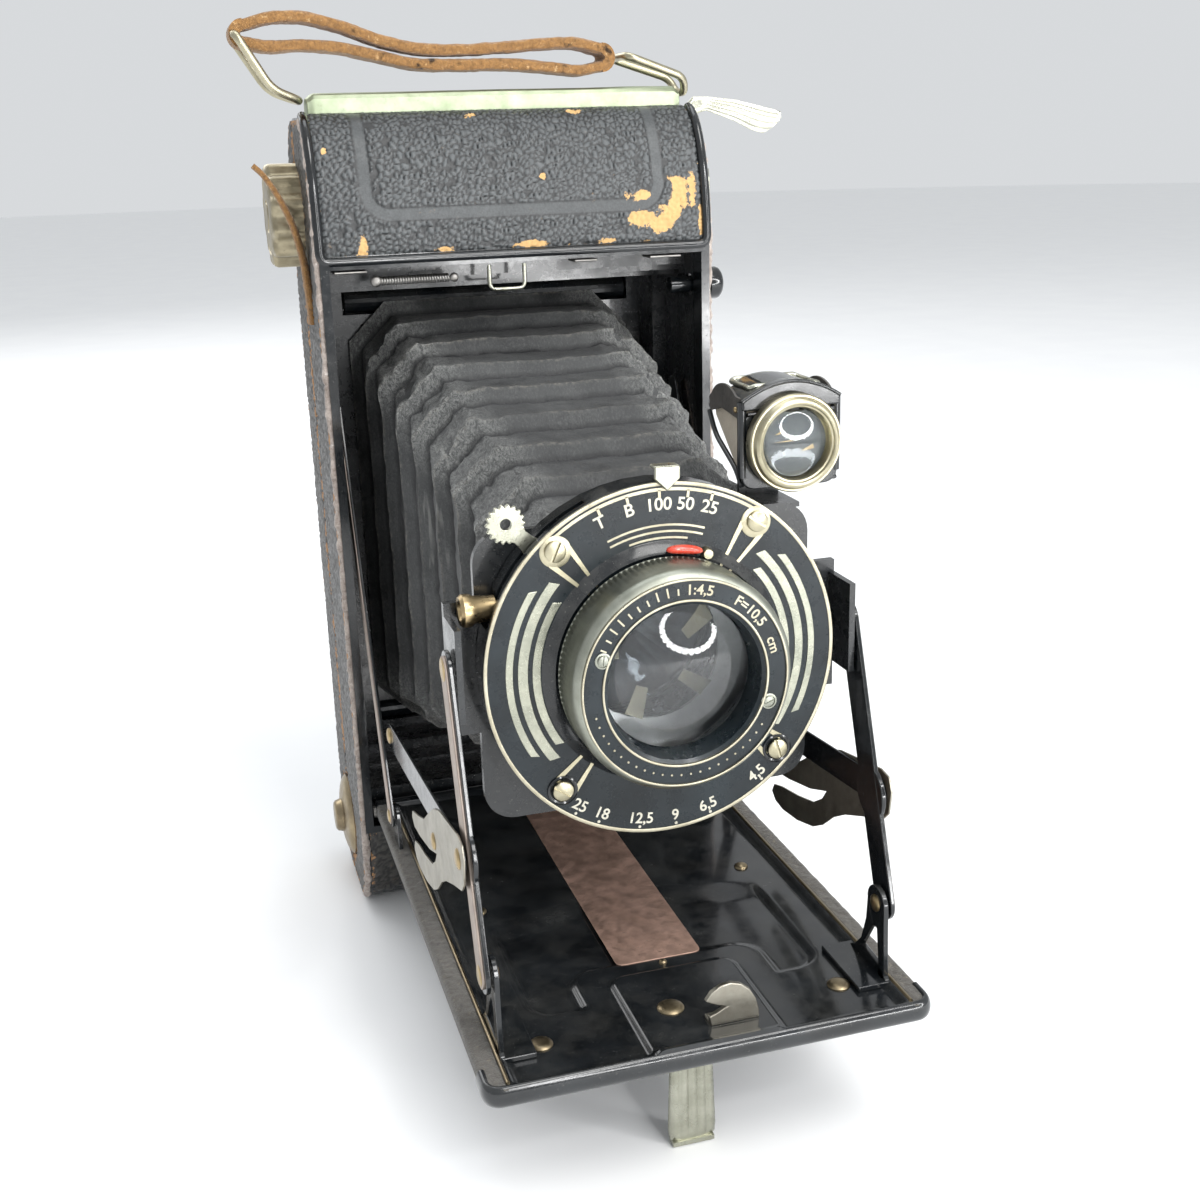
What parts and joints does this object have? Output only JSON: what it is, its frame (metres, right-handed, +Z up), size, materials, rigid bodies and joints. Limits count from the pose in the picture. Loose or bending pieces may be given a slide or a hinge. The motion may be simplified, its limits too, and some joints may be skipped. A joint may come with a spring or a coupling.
{
  "type": "folding bellows roll-film camera",
  "caption": "Folding roll-film camera standing upright, bed open on its foot, bellows drawn out to a lens and shutter on folding struts.",
  "frame": {"origin": "centre of the flat base of the camera body, on the surface it stands on, midway between its two sides", "axes": "+Z up along the upright body, the lens looks along -Y, +X is to the right of someone facing the lens"},
  "size_m": [0.1122, 0.1459, 0.1814],
  "materials": {
    "leather": "pebbled, worn",
    "black_enamel": "gloss black enamel",
    "nickel": "tarnished nickel plate",
    "bronze": "dulled brass",
    "pewter": "knurled, dull",
    "bellows_cloth": "creased black leathercloth",
    "suede": "napped, dry",
    "glass": "polished",
    "red_glass": "red filter",
    "steel": "blued blades",
    "black_spool": "black lacquer"
  },
  "bodies": {
    "camera": {"body_shell": "black_enamel", "opening_frame": "black_enamel", "front_leather_upper": "leather", "front_leather_lower": "leather", "body_leather_left": "leather", "body_leather_right": "leather", "knob_plate": "bronze", "top_bar": "nickel", "catch_spring": "nickel", "bed_hinge_rod": "nickel", "bellows": "bellows_cloth"},
    "back": {"back_door": "black_enamel", "door_leather_left": "leather", "door_leather_right": "leather", "door_leather_back": "leather", "red_window": "red_glass"},
    "window_cover": {"window_cover": "nickel"},
    "pressure_plate": {"pressure_plate": "black_enamel"},
    "latch": {"latch_tab": "nickel"},
    "knob": {"winding_knob": "nickel"},
    "take_up": {"take_up_spool": "black_spool"},
    "stud_lower_left": {"spool_stud_lower_left": "bronze"},
    "stud_lower_right": {"spool_stud_lower_right": "bronze"},
    "stud_upper_right": {"spool_stud_upper_right": "bronze"},
    "roller_lower": {"film_roller_lower": "nickel"},
    "roller_upper": {"film_roller_upper": "nickel"},
    "release_button": {"release_button": "black_enamel"},
    "bail": {"catch_bail": "nickel"},
    "bed": {"bed": "black_enamel", "bed_leather": "leather", "bed_ear_left": "black_enamel", "bed_ear_right": "black_enamel", "bed_catch_hook": "nickel"},
    "foot": {"bed_foot": "nickel"},
    "strut_left": {"strut_left": "nickel"},
    "strut_right": {"strut_right": "nickel"},
    "brace_left": {"brace_left": "black_enamel"},
    "brace_right": {"brace_right": "black_enamel"},
    "stay_left": {"stay_left": "nickel"},
    "stay_right": {"stay_right": "nickel"},
    "lens": {"lens_standard": "black_enamel", "shutter_case": "black_enamel", "shutter_face": "black_enamel", "iris_blades": "steel", "cable_socket": "bronze", "rear_cell": "black_enamel", "rear_glass": "glass"},
    "release_lever": {"release_lever": "nickel"},
    "speed_pointer": {"speed_pointer": "nickel"},
    "aperture_pointer": {"aperture_pointer": "nickel"},
    "focus": {"focus_ring": "pewter", "front_cell": "black_enamel", "front_glass": "glass"},
    "finder": {"finder_body": "black_enamel", "finder_ring": "nickel", "finder_lens": "glass", "finder_top_glass": "glass"},
    "ring_left": {"strap_ring_left": "nickel"},
    "ring_right": {"strap_ring_right": "nickel"},
    "strap": {"strap": "suede"}
  },
  "joints": [
    {"name": "bed_fold", "type": "hinge", "parent": "camera", "child": "bed", "pos_m": [0, -0.0182, 0.0243], "axis": [-1, 0, 0], "range_deg": [0, 90], "deforming": ["bellows"]},
    {"name": "foot_fold", "type": "hinge", "parent": "bed", "child": "foot", "pos_m": [0, -0.111, 0.0228], "axis": [1, 0, 0], "range_deg": [0, 90]},
    {"name": "strut_left_turn", "type": "hinge", "parent": "bed", "child": "strut_left", "pos_m": [-0.0338, -0.1128, 0.0388], "axis": [-1, 0, 0], "range_deg": [0, 70]},
    {"name": "brace_left_turn", "type": "hinge", "parent": "strut_left", "child": "brace_left", "pos_m": [-0.0338, -0.1069, 0.0558], "axis": [-1, 0, 0], "range_deg": [-76, 0]},
    {"name": "stay_left_turn", "type": "hinge", "parent": "bed", "child": "stay_left", "pos_m": [-0.0338, -0.0392, 0.0328], "axis": [-1, 0, 0], "range_deg": [-114, 0]},
    {"name": "strut_right_turn", "type": "hinge", "parent": "bed", "child": "strut_right", "pos_m": [0.0338, -0.1128, 0.0388], "axis": [-1, 0, 0], "range_deg": [0, 70]},
    {"name": "brace_right_turn", "type": "hinge", "parent": "strut_right", "child": "brace_right", "pos_m": [0.0338, -0.1069, 0.0558], "axis": [-1, 0, 0], "range_deg": [-76, 0]},
    {"name": "stay_right_turn", "type": "hinge", "parent": "bed", "child": "stay_right", "pos_m": [0.0338, -0.0392, 0.0328], "axis": [-1, 0, 0], "range_deg": [-114, 0]},
    {"name": "standard_turn", "type": "hinge", "parent": "strut_left", "child": "lens", "pos_m": [-0.0338, -0.0975, 0.083], "axis": [-1, 0, 0], "range_deg": [-160, 0]},
    {"name": "release_lever_turn", "type": "hinge", "parent": "lens", "child": "release_lever", "pos_m": [0, -0.1, 0.0809], "axis": [0, 1, 0], "range_deg": [0, 12], "stiffness_Nm_per_rad": 0.002},
    {"name": "speed_set", "type": "hinge", "parent": "lens", "child": "speed_pointer", "pos_m": [0, -0.1, 0.0809], "axis": [0, 1, 0], "range_deg": [-23, 16]},
    {"name": "aperture_set", "type": "hinge", "parent": "lens", "child": "aperture_pointer", "pos_m": [0, -0.1, 0.0809], "axis": [0, 1, 0], "range_deg": [0, 76]},
    {"name": "focus_turn", "type": "hinge", "parent": "lens", "child": "focus", "pos_m": [0, -0.1, 0.0809], "axis": [0, 1, 0], "range_deg": [-270, 0]},
    {"name": "finder_turn", "type": "hinge", "parent": "lens", "child": "finder", "pos_m": [0.0223, -0.092, 0.115], "axis": [0, 1, 0], "range_deg": [0, 90]},
    {"name": "back_open", "type": "hinge", "parent": "camera", "child": "back", "pos_m": [0, 0.00415, 0.0009], "axis": [-1, 0, 0], "range_deg": [0, 100]},
    {"name": "window_cover_turn", "type": "hinge", "parent": "back", "child": "window_cover", "pos_m": [0, 0.0206, 0.1104], "axis": [0, 1, 0], "range_deg": [0, 80]},
    {"name": "pressure_plate_give", "type": "slide", "parent": "back", "child": "pressure_plate", "axis": [0, 1, 0], "range_m": [0, 0.0008], "stiffness_N_per_m": 60},
    {"name": "latch_lift", "type": "hinge", "parent": "camera", "child": "latch", "pos_m": [0.041, -0.0044, 0.166], "axis": [0, -1, 0], "range_deg": [0, 50]},
    {"name": "spool_turn", "type": "hinge", "parent": "camera", "child": "take_up", "pos_m": [0, 0.0045, 0.1465], "axis": [1, 0, 0], "continuous": true},
    {"name": "knob_pull", "type": "slide", "parent": "take_up", "child": "knob", "axis": [-1, 0, 0], "range_m": [0, 0.003], "stiffness_N_per_m": 150},
    {"name": "stud_lower_left_pull", "type": "slide", "parent": "camera", "child": "stud_lower_left", "axis": [-1, 0, 0], "range_m": [0, 0.004]},
    {"name": "stud_lower_right_pull", "type": "slide", "parent": "camera", "child": "stud_lower_right", "axis": [1, 0, 0], "range_m": [0, 0.004]},
    {"name": "stud_upper_right_pull", "type": "slide", "parent": "camera", "child": "stud_upper_right", "axis": [1, 0, 0], "range_m": [0, 0.004]},
    {"name": "roller_lower_turn", "type": "hinge", "parent": "camera", "child": "roller_lower", "pos_m": [0, 0.0144, 0.035], "axis": [1, 0, 0], "continuous": true},
    {"name": "roller_upper_turn", "type": "hinge", "parent": "camera", "child": "roller_upper", "pos_m": [0, 0.0144, 0.1276], "axis": [1, 0, 0], "continuous": true},
    {"name": "release_button_press", "type": "slide", "parent": "camera", "child": "release_button", "axis": [-1, 0, 0], "range_m": [0, 0.0018], "stiffness_N_per_m": 300},
    {"name": "bail_swing", "type": "hinge", "parent": "camera", "child": "bail", "pos_m": [-0.0025, -0.0172, 0.1364], "axis": [1, 0, 0], "range_deg": [0, 25]},
    {"name": "ring_left_swing", "type": "hinge", "parent": "camera", "child": "ring_left", "pos_m": [-0.0389, -0.0044, 0.168], "axis": [0, 1, 0], "range_deg": [-5, 40]},
    {"name": "ring_right_swing", "type": "hinge", "parent": "camera", "child": "ring_right", "pos_m": [0.0389, -0.0044, 0.168], "axis": [0, 1, 0], "range_deg": [-5, 40]},
    {"name": "strap_hang", "type": "hinge", "parent": "ring_left", "child": "strap", "pos_m": [-0.0501, -0.0044, 0.1799], "axis": [0, 1, 0], "range_deg": [-40, 5]}
  ],
  "couplings": [
    {"joint": "strut_left_turn", "follows": "bed_fold", "ratio": 0.74427},
    {"joint": "brace_left_turn", "follows": "bed_fold", "ratio": -0.8176},
    {"joint": "stay_left_turn", "follows": "bed_fold", "ratio": -1.2325},
    {"joint": "strut_right_turn", "follows": "bed_fold", "ratio": 0.74427},
    {"joint": "brace_right_turn", "follows": "bed_fold", "ratio": -0.8176},
    {"joint": "stay_right_turn", "follows": "bed_fold", "ratio": -1.2325},
    {"joint": "standard_turn", "follows": "bed_fold", "ratio": -1.7443},
    {"joint": "ring_right_swing", "follows": "strap_hang", "ratio": -1},
    {"joint": "ring_left_swing", "follows": "strap_hang", "ratio": -1}
  ]
}
